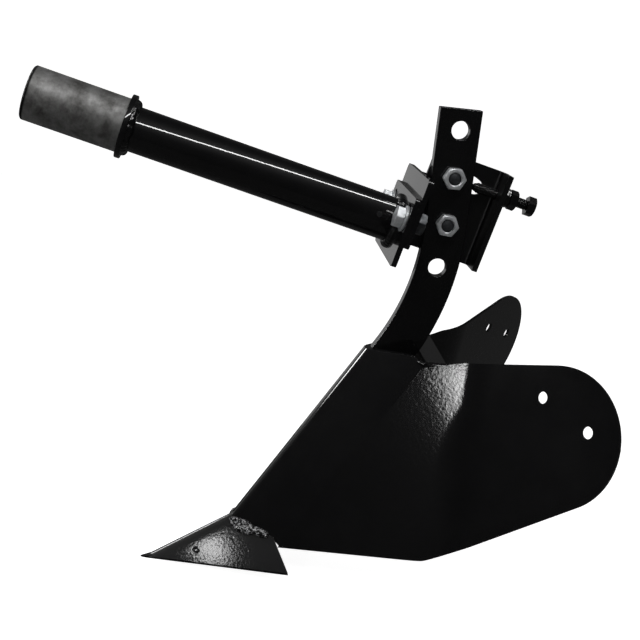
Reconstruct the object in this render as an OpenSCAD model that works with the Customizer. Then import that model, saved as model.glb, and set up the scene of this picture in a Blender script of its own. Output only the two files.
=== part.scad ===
// Ridging plough for a walking tiller: a round draw tube with a spigot, a clamped and screw-set
// hitch bracket, a flat-bar shank and a welded body of nose, share and two wings.
// +Z is up, +Y is to the left of the direction of travel, and the plough travels towards -X.
// The origin is under the middle of the whole plough, on the level of the share's tip.

/* [Draw tube] */
// Outer diameter of the draw tube
tube_d = 42.4; // [38:0.1:48]
// Wall of the draw tube
tube_wall = 4; // [2.5:0.5:6]
// Length of the draw tube, from its free end to the flange
tube_len = 356.5; // [300:0.5:420]
// Slope of the draw tube, falling to the rear
tube_slope = 19.9; // [14:0.1:26]
// Height of the pivot bolt above the tube's axis, square to the tube
pivot_over_tube = 13.6; // [8:0.1:20]
// Outer diameter of the spigot sleeve
spigot_d = 51; // [50:0.5:56]
// Length of the spigot ahead of its collar
spigot_len = 90; // [60:1:120]
// Chamfer at the spigot's free end
spigot_chamfer = 1.5; // [0.5:0.5:2]
// Radial room between the draw tube and what is pushed over it
sleeve_fit = 0.2; // [0.1:0.05:0.4]
// Diameter of the stop collar
collar_d = 60; // [58:1:72]
// Thickness of the stop collar
collar_t = 5.4; // [4:0.2:8]
// Leg of the fillet welds on the tube
tube_weld = 5; // [3:0.5:6]

/* [Flange joint] */
// Width of the two joint plates across the plough
joint_plate_w = 130; // [128:1:150]
// Thickness of the two joint plates
joint_plate_t = 5; // [4:0.5:8]
// Height of the plate welded to the tube
tube_flange_h = 65; // [62:1:80]
// Height of the bracket's front plate
front_plate_h = 65; // [60:1:72]
// Height of the front plate's lower edge below the pivot bolt
front_plate_drop = 27; // [25:0.5:30]
// Room between the front plate and the shank at the pivot bolt
front_plate_room = 16.8; // [16:0.1:22]
// Corner radius of the joint plates
joint_plate_r = 4; // [1:0.5:8]
// Distance of each flange bolt from the tube's axis
flange_bolt_reach = 51.3; // [50:0.1:53]
// Angle of each flange bolt above the level of the tube's axis
flange_bolt_rise = 12; // [10:0.5:16]
// Roll that the arc slots allow each way
roll_range = 8; // [4:0.5:9]
// Gap between faces that slide on each other
face_gap = 0.15; // [0.05:0.05:0.3]

/* [Bolts] */
// Diameter of the flange, pivot and tilt bolts
bolt_d = 12; // [10:0.5:12]
// Radial room round a bolt in its hole
bolt_room = 0.25; // [0.15:0.05:0.5]
// Radial room round the pivot bolt in the shank
pivot_room = 0.05; // [0.02:0.01:0.1]
// Size across flats of the bolts and nuts
bolt_af = 19; // [17:1:19]
// Height of the bolt heads
bolt_head_h = 7.5; // [6:0.5:8]
// Height of the nuts on the shank
nut_h = 10; // [8:0.5:12]
// Height of the nuts on the flange joint
flange_nut_h = 8; // [6:0.5:9]
// Diameter of the washers
washer_d = 24; // [22:1:26]
// Thickness of the washers
washer_t = 2.5; // [1.5:0.5:3]
// Room round each bolt across its arc slot
slot_room = 1.25; // [0.5:0.25:1.5]

/* [Bracket] */
// Thickness of the bent side plate
side_plate_t = 5; // [4:0.5:6]
// Rear face of the rear flange, behind the pivot bolt
side_plate_rear = 40.5; // [39:0.5:46]
// Lower edge of the side plate, below the pivot bolt
side_plate_drop = 31.5; // [28:0.5:34]
// Upper edge of the side plate, above the pivot bolt
side_plate_rise = 63.4; // [60:0.2:68]
// Step of the side plate's front edge above the front plate
side_plate_step = 4.5; // [0:0.5:7]
// Inner radius of the bend to the rear flange
side_plate_bend = 3; // [1:0.5:4]
// Reach of the rear flange to the right of the middle
rear_flange_reach = 22; // [16:0.5:30]
// Leg of the fillet welds on the bracket
bracket_weld_leg = 4; // [3:0.5:5]
// Tilt of the shank, top to the front, that the slot allows
tilt_forward = 4; // [2:0.5:5]
// Tilt of the shank, top to the rear, that the slot allows
tilt_back = 22; // [12:1:34]

/* [Adjusting screw] */
// Diameter of the adjusting screw
screw_d = 10; // [8:0.5:12]
// Height of the screw above the pivot bolt, square to the tube
screw_rise = 41.8; // [40:0.2:45]
// Length of the screw under its head
screw_len = 56; // [52:0.5:64]
// Radius of the screw's rounded tip
screw_tip_r = 4; // [3:0.5:5]
// Gap between the screw's tip and the shank
screw_gap = 0.3; // [0.2:0.05:0.5]
// Radial room of the screw in its nuts
screw_room = 0.08; // [0.05:0.01:0.1]
// Size across flats of the screw's head and nuts
screw_af = 17; // [14:1:19]
// Height of the screw's head
screw_head_h = 8; // [5:0.5:9]
// Height of each of the screw's two nuts
screw_nut_h = 8; // [5:0.5:8]

/* [Shank] */
// Width of the shank's flat bar
shank_w = 40; // [36:0.5:42]
// Thickness of the shank's flat bar
shank_t = 12; // [10:0.5:14]
// Lean of the shank's straight top, to the rear
shank_lean = 6.3; // [4:0.1:8]
// Length of the straight top above the pivot bolt
shank_top = 108.5; // [102:0.5:140]
// Bend radius at the middle of the bar
shank_bend_r = 243; // [220:1:270]
// Distance of the bend's start below the pivot bolt
bend_drop = 6; // [0:0.5:15]
// Lean of the nose, and of the shank's end inside it
nose_lean = 37.65; // [34:0.25:41]
// Length of the shank's straight end inside the nose
shank_foot = 116; // [60:1:150]
// Spacing of the holes along the bar
hole_pitch = 44.3; // [42:0.1:48]
// Lean of the line of holes against the bar, to the rear
hole_lean = 1.1; // [0:0.1:1.6]
// Distance of the lower spare hole below the pivot bolt, along the bend
low_hole_pitch = 42.5; // [40:0.5:48]
// Diameter of the spare holes
spare_hole_d = 17.5; // [14:0.5:20]

/* [Nose] */
// Thickness of the nose plate
nose_t = 5; // [4:0.5:6]
// Width of the flat band down the front of the nose
nose_band = 12; // [10:0.5:16]
// Half width of the nose across its legs
nose_half_w = 46; // [42:0.5:50]
// Depth of the nose, square to its front
nose_depth = 45.5; // [45:0.5:50]
// Height of the nose's level top above the end of the shank's bend
nose_top_rise = 7.1; // [4:0.1:12]
// Length of the nose front, from the end of the shank's bend to the share's ridge
nose_len = 219.6; // [190:0.1:240]
// Width of the corner cut off each leg's top
nose_clip = 11; // [4:0.5:16]
// Height of the legs' feet behind the share, above the foot of the nose's front
leg_foot_rise = 8.2; // [7:0.1:9.5]
// Thickness of the brace behind the shank
brace_t = 4; // [3:0.5:6]
// Depth of the brace behind the shank
brace_depth = 19; // [12:0.5:24]
// Height of the brace's top above the end of the shank's bend
brace_rise = 3.2; // [1:0.2:5]

/* [Share] */
// Thickness of the two share plates
share_t = 6; // [4:0.5:8]
// Slope of the share's ridge, falling to the front
share_slope = 26.7; // [22:0.1:32]
// Slope of each share plate to its side
share_roof = 37; // [30:0.5:42]
// Length of the ridge ahead of the nose
share_reach = 109.4; // [90:0.1:130]
// Length of the ridge over all
share_ridge = 132; // [126:0.5:140]
// Length of the share at its outer corners
share_corner_x = 135.7; // [132:0.1:142]
// Distance of the outer corners from the ridge, down the slope
share_corner_s = 91; // [80:0.5:96]
// Thickness that is left at the share's cutting edges
share_edge = 2.4; // [0.5:0.1:3]
// Leg of the fillet weld between nose and share
nose_weld_leg = 4; // [3:0.5:6]
// Length of that weld along each leg of the nose
nose_weld_len = 44; // [30:1:50]

/* [Wings] */
// Thickness of the wings
wing_t = 3; // [2:0.5:4]
// Angle of the wing's front panel to the middle, square to the nose
wing_front_angle = 26.8; // [22:0.1:32]
// Angle between the nose's edge and the wing's fold, in the front panel
wing_fold_lean = 30.4; // [27:0.1:33]
// Distance of the fold behind the top of the nose's edge
wing_fold_at = 53.5; // [48:0.5:60]
// Turn of the wing's fold
wing_fold = 26.5; // [20:0.5:32]
// Radius of the fold on its hollow side
wing_fold_r = 95; // [60:1:110]
// Radius of the wing's round tail
wing_tail_r = 63.4; // [60:0.1:66]
// Distance of the tail's centre behind the fold
wing_tail_x = 87.7; // [80:0.1:100]
// Distance of the tail's centre below the top of the nose's edge
wing_tail_drop = 41.5; // [38:0.5:44]
// Rise of the wing's top edge to the rear
wing_top_rise = 7.6; // [5:0.1:10]
// Slope of the wing's trailing edge
wing_trail_slope = 30.6; // [28:0.1:34]
// Length of the wing's trailing edge
wing_trail_len = 167.5; // [150:0.5:176]
// Slope of the wing's bottom edge
wing_bottom_slope = 7.5; // [4:0.5:10]
// Radius of the wing's bottom corner
wing_corner_r = 12; // [6:1:20]
// Diameter of the holes in the wing
wing_hole_d = 11; // [8:0.5:13]

/* [Hidden] */
$fn = 96;

// Colours: gloss black enamel, zinc plate and bare turned steel
enamel = [0.08, 0.08, 0.085];
enamel_weld = [0.12, 0.12, 0.125];
zinc = [0.72, 0.74, 0.75];
bare_steel = [0.55, 0.56, 0.57];

// A margin that carries a cut clear through a face
cut = 1;
// A lap that makes two runs of one bar a single solid
lap = 0.05;
// A length that is longer than any piece, for cutting blocks
far = 500;

// Stations along the tube, measured from the pivot bolt
joint_back = -(shank_w / 2 + front_plate_room);
joint_front = joint_back - joint_plate_t;
flange_back = joint_front - face_gap;
flange_front = flange_back - joint_plate_t;
tube_start = flange_front - tube_len;
collar_front = tube_start + spigot_len;
collar_back = collar_front + collar_t;
tube_axis = -pivot_over_tube;

hole_line_lean = shank_lean + hole_lean;

// The shank's bend, seen from the side and measured from the pivot bolt
bend_turn = nose_lean - shank_lean;
bend_start = -bend_drop * [sin(shank_lean), cos(shank_lean)];
bend_centre = bend_start + shank_bend_r * [-cos(shank_lean), sin(shank_lean)];
bend_end = bend_centre + shank_bend_r * [cos(nose_lean), -sin(nose_lean)];
low_hole_turn = (low_hole_pitch - bend_drop) / shank_bend_r * 180 / PI;

// The nose's front line, opposite the end of the bend
nose_front_x = -(shank_w / 2 + nose_t);
nose_start = bend_end + nose_front_x * [cos(nose_lean), -sin(nose_lean)];
nose_foot = nose_start - nose_len * [sin(nose_lean), cos(nose_lean)];
leg_angle = atan2(nose_half_w - nose_band / 2, nose_depth);
leg_len = norm([nose_half_w - nose_band / 2, nose_depth]);
nose_top = bend_end[1] + nose_top_rise;
// The legs' feet behind the share begin here, behind the nose's front
leg_foot_x = 0.8 * nose_depth;

// The share's tip, and with it the height of the pivot bolt
share_tip = nose_foot - share_reach * [cos(share_slope), sin(share_slope)];
share_tip_height = 0.8 * share_edge;
pivot_height = share_tip_height - share_tip[1];
// Slope of the ground face under the share's cutting edges
share_corner_y = share_corner_s * cos(share_roof);
share_under = atan2(share_corner_s * sin(share_roof), share_corner_x);

// The corner of the nose's leg where the wing's frame starts, up the nose from its start
wing_datum = 16.3;
// The wing's top edge turns down this far ahead of its tail, and by this angle
wing_clip_ahead = 96.4;
wing_clip_turn = 11;

// Places of the wing's two holes, from the centre of its tail
wing_holes = [[-18.7, 32.4], [31.1, 10.3]];

// Ends of the plough along X, from the pivot bolt, which set the origin in the middle
front_end = tube_start * cos(tube_slope)
    + (tube_axis - spigot_d / 2 + spigot_chamfer) * sin(tube_slope);
tail_centre = nose_start[0] + turn_y([nose_depth, -nose_half_w, wing_datum], nose_lean)[0]
    + from_front([wing_fold_at, 0, 0] + turn_y([wing_tail_x, -wing_tail_drop, 0], -wing_fold))[0];
tail_face = from_front(turn_y([0, 0, 1], -wing_fold))[0];
rear_end = tail_centre + wing_tail_r * sqrt(1 - pow(tail_face, 2)) - wing_t * tail_face;
pivot_x = -(front_end + rear_end) / 2;

// Angles of the shank and the tilt slot from the square to the tube, at rest
shank_in_bracket = shank_lean - tube_slope;
slot_spare_front = 4;
slot_spare_back = 12;
slot_first = hole_line_lean - tube_slope - tilt_forward - slot_spare_front;
slot_last = hole_line_lean - tube_slope + tilt_back + slot_spare_back;
slot_w = bolt_d + 2 * slot_room;

// Where the screw's round tip meets the shank's rear edge
screw_tip = (shank_w / 2 + screw_tip_r) / cos(shank_in_bracket) - screw_tip_r
    + screw_rise * tan(shank_in_bracket) + screw_gap;

// Faces across the plough: the shank, then the side plate on its left
side_plate_y = shank_t / 2 + face_gap;
side_plate_far = side_plate_y + side_plate_t;

// Diameter of the screw's neck behind its round tip
screw_neck_d = 0.8 * screw_d;

// Angle to which the cut corners of the nose's legs fall to the rear
nose_clip_slope = 42;

// How far the ends of the cross bolts stay inside their nuts
bolt_short = 1;

// Turns of the heads and nuts about their own axes, as they were tightened
flange_head_turn = 6;
flange_nut_turn = 12;
weld_nut_turn = 15;
lock_nut_turn = 40;
screw_head_turn = 20;
pivot_nut_turn = 12;
tilt_nut_turn = -2;

// A point turned about one axis
function turn_x(p, a) = [p[0], p[1] * cos(a) - p[2] * sin(a), p[1] * sin(a) + p[2] * cos(a)];
function turn_y(p, a) = [p[0] * cos(a) + p[2] * sin(a), p[1], p[2] * cos(a) - p[0] * sin(a)];
function turn_z(p, a) = [p[0] * cos(a) - p[1] * sin(a), p[0] * sin(a) + p[1] * cos(a), p[2]];

// A direction in the frame of the wing's front panel, turned into the plough's frame
function from_front(p) =
    turn_y(turn_z(turn_x(turn_z(p, wing_fold_lean), 90), -wing_front_angle), nose_lean);

// The plough's own frame, with the pivot bolt in its place
module at_pivot() {
    translate([pivot_x, 0, pivot_height]) children();
}

// The tube's frame at the pivot bolt: X runs down the tube to the rear
module along_tube() {
    at_pivot() rotate([0, tube_slope, 0]) children();
}

// A frame on the tube's axis, with Z along the tube from a station
module tube_ring(station) {
    along_tube() translate([station, 0, tube_axis]) rotate([0, 90, 0]) children();
}

// The nose's frame: X square to its front line and to the rear, Z up along it
module along_nose() {
    at_pivot() translate([nose_start[0], 0, nose_start[1]]) rotate([0, nose_lean, 0]) children();
}

// The share's frame: its origin is the tip, X runs up the ridge
module along_ridge() {
    at_pivot() translate([share_tip[0], 0, share_tip[1]]) rotate([0, -share_slope, 0]) children();
}

// A flat outline drawn as seen from the right side, X to the rear and Y up, made thick
module side_view(first_y, thick) {
    translate([0, first_y + thick, 0]) rotate([90, 0, 0]) linear_extrude(thick) children();
}

// A frame across the plough at a bolt, with Z to the left
module across(first_y) {
    translate([0, first_y, 0]) rotate([-90, 0, 0]) children();
}

module ring(outer_d, inner_d, high) {
    difference() {
        cylinder(d = outer_d, h = high);
        translate([0, 0, -cut]) cylinder(d = inner_d, h = high + 2 * cut);
    }
}

// A hexagon with its corner chamfers, from z = 0 upwards
module hexagon(flats, high) {
    corners = flats / cos(30);
    chamfer = (corners - flats) / 2 * tan(30);
    intersection() {
        cylinder(d = corners, h = high, $fn = 6);
        union() {
            cylinder(d = corners, h = high - chamfer);
            translate([0, 0, high - chamfer]) cylinder(d1 = corners, d2 = flats, h = chamfer);
        }
    }
}

module nut(flats, high, bore) {
    difference() {
        hexagon(flats, high);
        translate([0, 0, -cut]) cylinder(d = bore, h = high + 2 * cut);
    }
}

// A bolt whose head's seat is at z = 0, with its shank to +Z
module bolt(thick, under_head, flats, head_h) {
    tip = thick / 10;
    mirror([0, 0, 1]) hexagon(flats, head_h);
    cylinder(d = thick, h = under_head - tip);
    translate([0, 0, under_head - tip]) cylinder(d1 = thick, d2 = thick - 2 * tip, h = tip);
}

// A plate with round corners, standing across the tube
module joint_plate(front, low, high_edge) {
    along_tube() translate([front, 0, 0]) rotate([90, 0, 90]) linear_extrude(joint_plate_t) {
        difference() {
            rounded_rectangle(joint_plate_w, low, high_edge, joint_plate_r);
            children();
        }
    }
}

module rounded_rectangle(wide, low, top, r) {
    translate([-wide / 2 + r, low]) square([wide - 2 * r, top - low]);
    translate([-wide / 2, low + r]) square([wide, top - low - 2 * r]);
    for (x = [-1, 1], y = [low + r, top - r]) translate([x * (wide / 2 - r), y]) circle(r);
}

// A slot bent round the origin, from one angle to another, anticlockwise from X
module arc_slot(reach, wide, first, last) {
    steps = 24;
    function way(a) = [cos(a), sin(a)];
    function bend(r, i) = r * way(first + (last - first) * i / steps);
    function end_arc(at, from) = [for (i = [1:steps - 1])
        reach * way(at) + wide / 2 * way(from + 180 * i / steps)];
    polygon(concat(
        [for (i = [0:steps]) bend(reach + wide / 2, i)], end_arc(last, last),
        [for (i = [steps:-1:0]) bend(reach - wide / 2, i)], end_arc(first, first + 180)));
}

module flange_bolt_places() {
    for (side = [-1, 1])
        along_tube() translate([0, side * flange_bolt_reach * cos(flange_bolt_rise),
            tube_axis + flange_bolt_reach * sin(flange_bolt_rise)]) children();
}

module spigot_sleeve() {
    bore = tube_d + 2 * sleeve_fit;
    color(bare_steel) tube_ring(tube_start) difference() {
        union() {
            cylinder(d1 = spigot_d - 2 * spigot_chamfer, d2 = spigot_d, h = spigot_chamfer);
            translate([0, 0, spigot_chamfer]) cylinder(d = spigot_d, h = spigot_len - spigot_chamfer);
        }
        translate([0, 0, -cut]) cylinder(d = bore, h = spigot_len + 2 * cut);
    }
}

module stop_collar() {
    color(enamel) tube_ring(collar_front) ring(collar_d, tube_d + 2 * sleeve_fit, collar_t);
}

// A fillet round the tube, its wide foot at z = 0
module tube_fillet() {
    inner = tube_d / 2 + sleeve_fit / 2;
    rotate_extrude() polygon([[inner, 0], [inner + tube_weld, 0], [inner, tube_weld]]);
}

module collar_weld() {
    color(enamel_weld) tube_ring(collar_back) tube_fillet();
}

module draw_tube() {
    color(enamel) tube_ring(tube_start) ring(tube_d, tube_d - 2 * tube_wall, tube_len);
}

module flange_weld() {
    color(enamel_weld) tube_ring(flange_front) mirror([0, 0, 1]) tube_fillet();
}

module tube_flange() {
    color(enamel)
    joint_plate(flange_front, tube_axis - tube_flange_h / 2, tube_axis + tube_flange_h / 2) {
        for (side = [0, 1]) mirror([side, 0]) translate([0, tube_axis])
            arc_slot(flange_bolt_reach, slot_w, flange_bolt_rise - roll_range,
                flange_bolt_rise + roll_range);
    }
}

module front_plate() {
    color(enamel)
    joint_plate(joint_front, -front_plate_drop, front_plate_h - front_plate_drop) {
        for (side = [-1, 1]) translate([side * flange_bolt_reach * cos(flange_bolt_rise),
            tube_axis + flange_bolt_reach * sin(flange_bolt_rise)])
            circle(d = bolt_d + 2 * bolt_room);
    }
}

// The side plate seen from the right, with its holes: X to the rear, Y square to the tube
module side_plate_outline() {
    difference() {
        translate([joint_back, -side_plate_drop])
            square([side_plate_rear - joint_back - side_plate_t - side_plate_bend,
                side_plate_rise + side_plate_drop]);
        translate([joint_back - cut, front_plate_h - front_plate_drop])
            square([side_plate_step + cut, side_plate_rise]);
        circle(d = bolt_d + 2 * bolt_room);
        arc_slot(hole_pitch, slot_w, 90 - slot_last, 90 - slot_first);
    }
}

module side_plate() {
    high = side_plate_rise + side_plate_drop;
    outer_r = side_plate_t + side_plate_bend;
    bend_x = side_plate_rear - outer_r;
    bend_y = side_plate_far - outer_r;
    color(enamel) along_tube() difference() {
        union() {
            side_view(side_plate_y, side_plate_t) side_plate_outline();
            translate([bend_x, bend_y, -side_plate_drop])
                rotate_extrude(angle = 90) translate([side_plate_bend, 0]) square([side_plate_t, high]);
            translate([side_plate_rear - side_plate_t, -rear_flange_reach, -side_plate_drop])
                cube([side_plate_t, rear_flange_reach + bend_y, high]);
        }
        translate([side_plate_rear - side_plate_t - cut, 0, screw_rise]) rotate([0, 90, 0])
            cylinder(d = screw_d + 2 * bolt_room, h = side_plate_t + 2 * cut);
    }
}

// The fillet in the corner between the front plate and the side plate's left face
module bracket_weld() {
    color(enamel_weld) along_tube() translate([joint_back, side_plate_far, -front_plate_drop + cut])
        linear_extrude(front_plate_h - 2 * cut)
            polygon([[0, 0], [bracket_weld_leg, 0], [0, bracket_weld_leg]]);
}

module flange_bolts() {
    seat = flange_front - face_gap - washer_t;
    color(zinc) flange_bolt_places() translate([seat, 0, 0]) rotate([0, 90, 0])
        rotate(flange_head_turn) bolt(bolt_d, joint_back + flange_nut_h - seat, bolt_af, bolt_head_h);
}

module flange_washers() {
    color(zinc) flange_bolt_places() translate([flange_front - face_gap - washer_t, 0, 0])
        rotate([0, 90, 0]) ring(washer_d, bolt_d + 2 * bolt_room, washer_t);
}

module flange_nuts() {
    color(zinc) flange_bolt_places() translate([joint_back, 0, 0]) rotate([0, 90, 0])
        rotate(flange_nut_turn) nut(bolt_af, flange_nut_h, bolt_d + 2 * screw_room);
}

module at_screw(station) {
    along_tube() translate([station, 0, screw_rise]) rotate([0, 90, 0]) children();
}

module screw_weld_nut() {
    color(enamel_weld) at_screw(side_plate_rear) rotate(weld_nut_turn)
        nut(screw_af, screw_nut_h, screw_d + 2 * screw_room);
}

module screw_lock_nut() {
    color(enamel) at_screw(side_plate_rear + screw_nut_h) rotate(lock_nut_turn)
        nut(screw_af, screw_nut_h, screw_d + 2 * screw_room);
}

module adjusting_screw() {
    neck = screw_tip_r - sqrt(pow(screw_tip_r, 2) - pow(screw_neck_d / 2, 2));
    color(enamel) at_screw(screw_tip) {
        intersection() {
            translate([0, 0, screw_tip_r]) sphere(screw_tip_r);
            cylinder(d = screw_neck_d, h = screw_tip_r);
        }
        translate([0, 0, neck]) cylinder(d = screw_neck_d, h = screw_tip_r);
        translate([0, 0, screw_tip_r]) cylinder(d = screw_d, h = screw_len - screw_tip_r);
        translate([0, 0, screw_len]) rotate(screw_head_turn) hexagon(screw_af, screw_head_h);
    }
}

// The pivot and tilt bolts come from the left, with their nuts on the shank's right face
module cross_bolt() {
    head_seat = side_plate_far + face_gap + washer_t;
    nut_face = shank_t / 2 + nut_h;
    translate([0, head_seat, 0]) rotate([90, 0, 0])
        bolt(bolt_d, head_seat + nut_face - bolt_short, bolt_af, bolt_head_h);
}

module cross_washer() {
    across(side_plate_far + face_gap) ring(washer_d, bolt_d + 2 * bolt_room, washer_t);
}

module cross_nut(gap, turn) {
    translate([0, -shank_t / 2 - gap, 0]) rotate([90, 0, 0]) rotate(turn)
        nut(bolt_af, nut_h, bolt_d + 2 * screw_room);
}

// The hole above the pivot bolt that takes the tilt bolt
module at_tilt_bolt() {
    at_pivot() rotate([0, hole_line_lean, 0]) translate([0, 0, hole_pitch]) children();
}

module pivot_bolt() {
    color(zinc) at_pivot() cross_bolt();
}

module pivot_washer() {
    color(zinc) at_pivot() cross_washer();
}

module pivot_nut() {
    color(zinc) at_pivot() cross_nut(face_gap, pivot_nut_turn);
}

module tilt_bolt() {
    color(zinc) at_tilt_bolt() cross_bolt();
}

module tilt_washer() {
    color(zinc) at_tilt_bolt() cross_washer();
}

module tilt_nut() {
    color(zinc) at_tilt_bolt() cross_nut(0, tilt_nut_turn);
}

// The shank's outline seen from the right, from the pivot bolt
module shank_outline() {
    difference() {
        union() {
            rotate(-shank_lean) translate([-shank_w / 2, -bend_drop - lap])
                square([shank_w, shank_top + bend_drop + lap]);
            translate(bend_centre) intersection() {
                difference() {
                    circle(shank_bend_r + shank_w / 2, $fn = 360);
                    circle(shank_bend_r - shank_w / 2, $fn = 360);
                }
                polygon([[0, 0], far * [cos(shank_lean), -sin(shank_lean)],
                    far * [cos(nose_lean), -sin(nose_lean)]]);
            }
            translate(bend_end) rotate(-nose_lean) translate([-shank_w / 2, -shank_foot])
                square([shank_w, shank_foot + lap]);
        }
        circle(d = bolt_d + 2 * pivot_room);
        rotate(-hole_line_lean) translate([0, hole_pitch]) circle(d = bolt_d + 2 * bolt_room);
        rotate(-hole_line_lean) translate([0, 2 * hole_pitch]) circle(d = spare_hole_d);
        translate(bend_centre) rotate(-shank_lean - low_hole_turn) translate([shank_bend_r, 0])
            circle(d = spare_hole_d);
    }
}

// The bar, with its front corners taken off where it seats in the nose
module shank() {
    color(enamel) difference() {
        at_pivot() side_view(-shank_t / 2, shank_t) shank_outline();
        nose_body();
    }
}

// The nose's section, square to its front line: X to the rear
module nose_section() {
    leg = [cos(leg_angle), sin(leg_angle)];
    square_in = nose_t * [sin(leg_angle), -cos(leg_angle)];
    corner = [0, nose_band / 2];
    inner_y = nose_band / 2 - nose_t * tan((90 - leg_angle) / 2);
    tip = corner + leg_len * leg;
    half = [corner, tip, tip + square_in, [nose_t, inner_y]];
    polygon(concat(half, [for (i = [3:-1:0]) [half[i][0], -half[i][1]]]));
}

// All that lies under the roof of the two share plates, as far back as a length along the ridge
module under_roof(back) {
    along_ridge() rotate([90, 0, 90]) translate([0, 0, -cut]) linear_extrude(back + cut)
        polygon([[0, 0], far * [cos(share_roof), -sin(share_roof)],
            far * [-cos(share_roof), -sin(share_roof)]]);
}

module nose_body() {
    difference() {
        along_nose() translate([0, 0, -nose_len - far / 5])
            linear_extrude(nose_len + far / 2) nose_section();
        at_pivot() translate([-far, -far / 2, nose_top]) cube([2 * far, far, far]);
        under_roof(share_corner_x);
        along_nose() translate([leg_foot_x, -far / 2, -nose_len - far])
            cube([far, far, far + leg_foot_rise]);
        for (side = [-1, 1]) along_nose()
            translate([nose_depth - nose_clip / 2, side * nose_half_w, wing_datum])
                rotate([0, nose_clip_slope - nose_lean, 0]) translate([-nose_clip, -nose_clip, 0])
                    cube([4 * nose_clip, 2 * nose_clip, 4 * nose_clip]);
    }
}

module nose_plate() {
    color(enamel) nose_body();
}

// A level plate that ties the two wings together behind the shank
module wing_brace() {
    top = bend_end[1] + brace_rise;
    front = bend_centre[0] + face_gap
        + sqrt(pow(shank_bend_r + shank_w / 2, 2) - pow(top - bend_centre[1], 2));
    color(enamel) difference() {
        at_pivot() translate([front, -far / 5, top - brace_t]) cube([brace_depth, far / 2.5, brace_t]);
        for (side = [0, 1]) mirror([0, side, 0]) wing_outside();
    }
}

// One share plate, flat, with its underside ground level with its cutting edge
module share_plate() {
    difference() {
        along_ridge() rotate([share_roof, 0, 0]) translate([0, 0, -share_t]) linear_extrude(share_t)
            polygon([[0, 0], [share_corner_x, -share_corner_s], [share_ridge, 0], [share_ridge, far / 10],
                [0, far / 10]]);
        along_ridge() translate([-cut, 0, -far / 2]) cube([far, far, far]);
        along_ridge() rotate([0, share_under, 0]) translate([-far / 2, -far / 2, -far - share_edge])
            cube([far, far, far]);
        translate([-far, -far / 2, -far]) cube([2 * far, far, far]);
    }
}

module share_right() {
    color(enamel) share_plate();
}

module share_left() {
    color(enamel) mirror([0, 1, 0]) share_plate();
}

// The weld between the nose's legs and the share
module nose_weld() {
    for (side = [0, 1]) color(enamel_weld) mirror([0, side, 0]) difference() {
        weld_rod();
        along_nose() translate([0, 0, -nose_len - far / 5]) linear_extrude(nose_len) nose_fill();
        under_roof(share_ridge);
    }
}

module nose_fill() {
    leg = leg_len * [cos(leg_angle), sin(leg_angle)];
    polygon([[0, -nose_band / 2], [0, nose_band / 2], [leg[0], nose_band / 2 + leg[1]],
        [leg[0], -nose_band / 2 - leg[1]]]);
}

// Where the outer face of the nose's right leg meets the share, in the share's frame
function on_share(p) = let (
    turn = nose_lean + share_slope,
    x0 = share_reach,
    a = [p[0] * cos(turn), p[1], -p[0] * sin(turn)],
    up = [sin(turn), 0, cos(turn)],
    k = (-tan(share_roof) * abs(p[1]) - a[2]) / up[2]
) [x0 + a[0] + k * up[0], p[1], a[2] + k * up[2]];

module weld_rod() {
    first = on_share([0, -nose_band / 2]);
    last = on_share([nose_weld_len * cos(leg_angle), -nose_band / 2 - nose_weld_len * sin(leg_angle)]);
    way = last - first;
    along_ridge() translate(first)
        rotate([0, acos(way[2] / norm(way)), atan2(way[1], way[0])]) cylinder(r = nose_weld_leg,
            h = norm(way));
}

// Frames of the right wing: its front panel at the nose's edge, and its tail behind the fold
module wing_front_frame() {
    along_nose() translate([nose_depth, -nose_half_w, wing_datum])
        rotate([90, 0, -wing_front_angle]) rotate([0, 0, wing_fold_lean])
            translate([wing_fold_at, 0, 0]) children();
}

module wing_tail_frame() {
    wing_front_frame() rotate([0, -wing_fold, 0]) children();
}

// The sheet's section across the fold, from the fold's corner: X to the rear, Y outwards
module wing_section() {
    set_back = wing_fold_r * tan(wing_fold / 2);
    panel = far / 2;
    translate([set_back, -wing_t]) square([panel, wing_t]);
    translate([set_back, wing_fold_r]) {
        rotate(-wing_fold) translate([-panel, -wing_fold_r - wing_t]) square([panel, wing_t]);
        intersection() {
            difference() {
                circle(wing_fold_r + wing_t, $fn = 180);
                circle(wing_fold_r, $fn = 180);
            }
            polygon([[0, 0], far * [0, -1], far * [-sin(wing_fold), -cos(wing_fold)]]);
        }
    }
}

// The wing's outline, seen square to its tail, from the centre of the tail
module wing_outline() {
    top = wing_tail_r * [-sin(wing_top_rise), cos(wing_top_rise)];
    ahead = far / 2;
    clip = top - wing_clip_ahead * [cos(wing_top_rise), sin(wing_top_rise)];
    clip_way = [cos(wing_top_rise + wing_clip_turn), sin(wing_top_rise + wing_clip_turn)];
    trail_way = [-cos(wing_trail_slope), -sin(wing_trail_slope)];
    trail = wing_tail_r * [sin(wing_trail_slope), -cos(wing_trail_slope)];
    corner = trail + wing_trail_len * trail_way;
    bottom_way = [-cos(wing_bottom_slope), -sin(wing_bottom_slope)];
    // The bottom corner is rounded by an arc that touches both edges
    turn = (wing_trail_slope - wing_bottom_slope) / 2;
    start = corner - wing_corner_r * tan(turn) * trail_way;
    centre = start + wing_corner_r * [-trail_way[1], trail_way[0]] * -1;
    steps = 4;
    round_points = [for (i = [0:steps]) let (a = wing_trail_slope - 2 * turn * i / steps)
        centre + wing_corner_r * [sin(a), -cos(a)]];
    difference() {
        union() {
            circle(wing_tail_r);
            polygon(concat([[0, 0], top, clip, clip - ahead * clip_way, corner + ahead * bottom_way],
                [for (i = [steps:-1:0]) round_points[i]], [trail]));
        }
        for (place = wing_holes) translate(place) circle(d = wing_hole_d);
    }
}

// A block that takes away all in front of the end of the nose's right leg
module before_leg_end() {
    along_nose() translate([nose_depth, -nose_half_w, 0]) rotate([0, 0, -leg_angle])
        translate([-far, -far / 2, -far]) cube([far, far, 2 * far]);
}

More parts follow.
